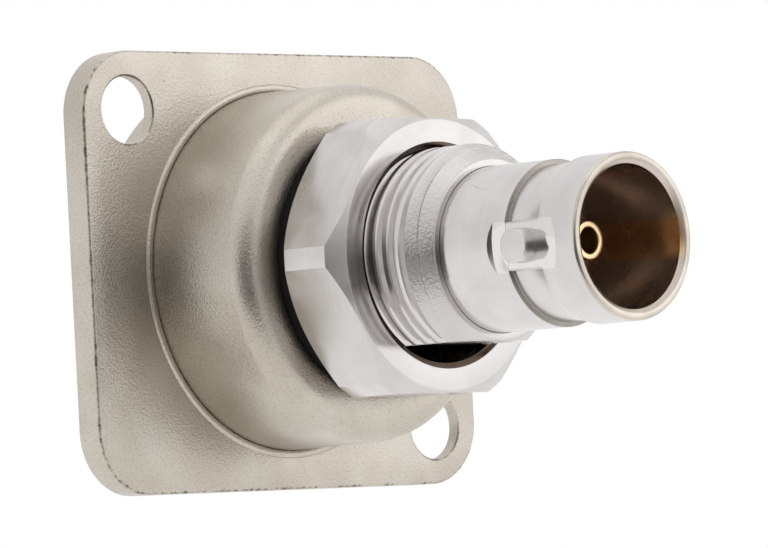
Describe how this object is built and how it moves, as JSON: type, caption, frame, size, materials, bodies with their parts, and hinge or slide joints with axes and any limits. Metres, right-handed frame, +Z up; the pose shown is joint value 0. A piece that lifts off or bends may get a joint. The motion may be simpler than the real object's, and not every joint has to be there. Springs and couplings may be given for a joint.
{
  "type": "bnc feedthrough socket",
  "caption": "Rectangular panel flange with a round boss that carries a coaxial bayonet socket, open at both ends and clamped by a hexagon nut.",
  "frame": {"origin": "on the socket's axis, in the flange's mounting face", "axes": "+Y along the socket's axis towards the panel side, +Z up, +X along the flange's long side"},
  "size_m": [0.031, 0.0409, 0.026],
  "materials": {
    "nickel_casting": "satin",
    "nickel_turned": "satin",
    "gold_contact": "polished",
    "dark_insulator": "satin",
    "black_washer": "matte"
  },
  "bodies": {
    "root": {"housing": "nickel_casting", "socket_body": "nickel_turned", "rear_barrel": "nickel_turned", "hex_nut": "nickel_turned", "centre_contact": "gold_contact", "front_insulator": "dark_insulator", "rear_insulator": "dark_insulator", "rear_washer": "black_washer", "front_gasket": "black_washer"}
  },
  "joints": []
}
